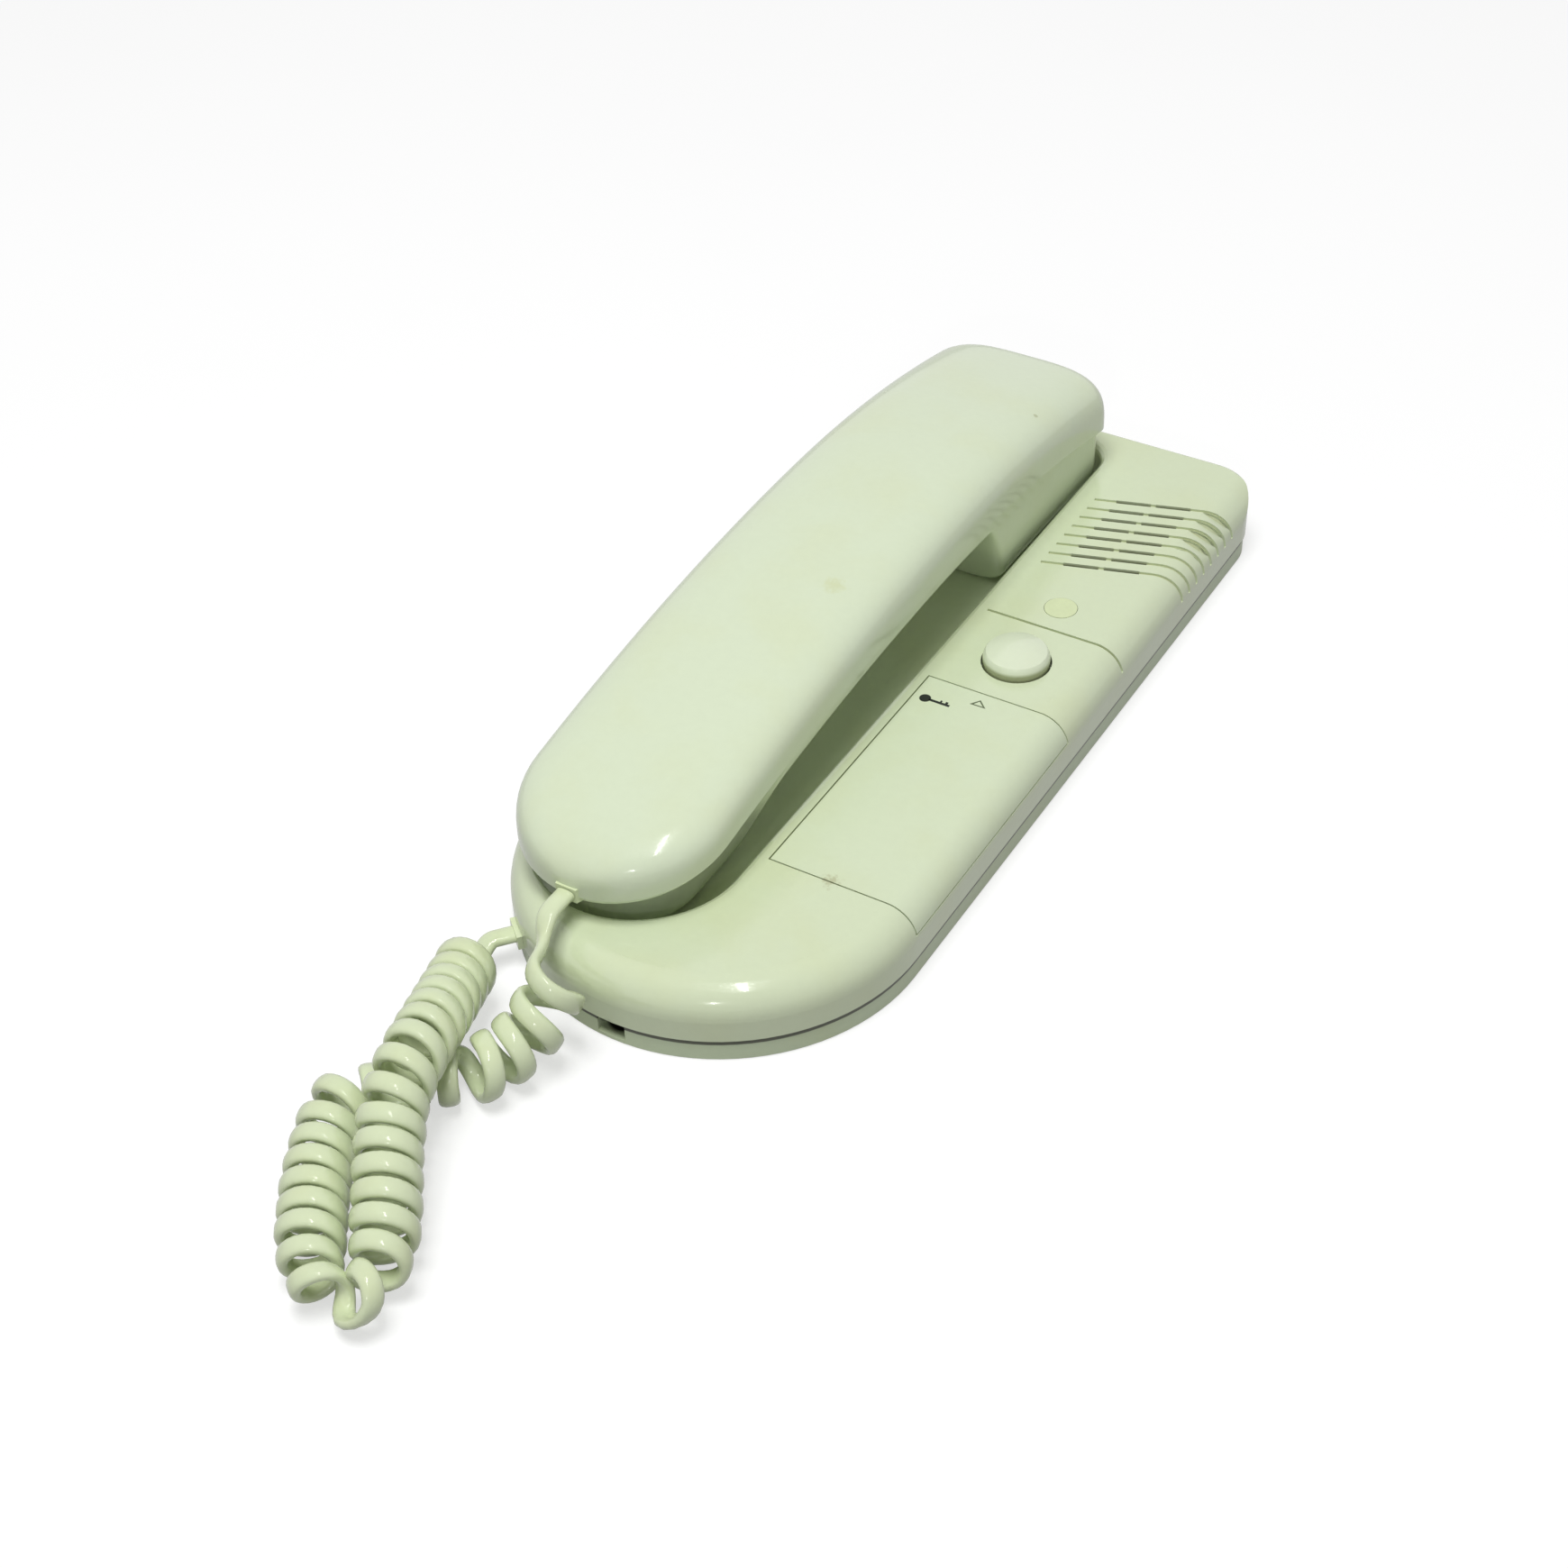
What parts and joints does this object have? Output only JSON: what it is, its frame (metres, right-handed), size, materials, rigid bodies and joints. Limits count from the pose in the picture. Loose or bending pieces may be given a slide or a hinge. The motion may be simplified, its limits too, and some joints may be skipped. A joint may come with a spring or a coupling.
{
  "type": "audio intercom handset",
  "caption": "Slim ivory wall door phone with a lift-off handset in a cradle, a door button, a speaker grille and a curly cord",
  "frame": {"origin": "middle of the base's back face, on the wall plane", "axes": "+X to the call panel's side, +Y to the ear end, +Z out of the front"},
  "size_m": [0.089, 0.3051, 0.0482],
  "materials": {
    "ivory_plastic": "glossy moulded ivory, slightly yellowed",
    "ivory_cord": "soft glossy cord sheath",
    "clear_plastic": "cloudy clear lens",
    "red_lamp": "tinted epoxy",
    "green_board": "solder mask",
    "zinc_steel": "zinc plated",
    "blue_plastic": "moulded",
    "black_plastic": "moulded",
    "coil_tape": "wrapped coil",
    "speaker_paper": "pressed paper",
    "ferrite": "sintered",
    "soft_rubber": "soft"
  },
  "bodies": {
    "base": {"back_cover": "ivory_plastic", "front_housing": "ivory_plastic", "name_panel": "ivory_plastic", "indicator_lens": "clear_plastic", "indicator_led": "red_lamp", "main_board": "green_board", "board_screws": "zinc_steel", "terminal_block": "blue_plastic", "terminal_screws": "zinc_steel", "door_switch": "black_plastic", "line_transformer": "coil_tape", "capacitors": "black_plastic", "amplifier_chip": "black_plastic", "speaker_frame": "zinc_steel", "speaker_cone": "speaker_paper", "speaker_magnet": "ferrite", "speaker_screws": "zinc_steel", "hook_switch": "black_plastic", "hook_spring": "zinc_steel", "button_spring": "zinc_steel", "base_cord_relief": "ivory_cord", "curly_cord": "ivory_cord"},
    "handset": {"handset_outer_shell": "ivory_plastic", "handset_inner_shell": "ivory_plastic", "receiver_capsule": "zinc_steel", "receiver_gasket": "soft_rubber", "microphone_capsule": "zinc_steel", "microphone_boot": "soft_rubber", "handset_screws": "zinc_steel", "handset_cord_relief": "ivory_cord"},
    "door_button": {"door_button": "ivory_plastic"},
    "hook_plunger": {"hook_plunger": "ivory_plastic"}
  },
  "joints": [
    {"name": "handset_lift", "type": "slide", "parent": "base", "child": "handset", "axis": [0, 0, 1], "range_m": [0, 0.06], "deforming": ["curly_cord"]},
    {"name": "door_button_press", "type": "slide", "parent": "base", "child": "door_button", "axis": [0, 0, -1], "range_m": [0, 0.002], "stiffness_N_per_m": 500, "deforming": ["button_spring"]},
    {"name": "hook_plunger_rise", "type": "slide", "parent": "base", "child": "hook_plunger", "axis": [0, 0, 1], "range_m": [0, 0.003], "deforming": ["hook_spring"]}
  ],
  "couplings": [
    {"joint": "hook_plunger_rise", "follows": "handset_lift", "ratio": 0.05}
  ]
}
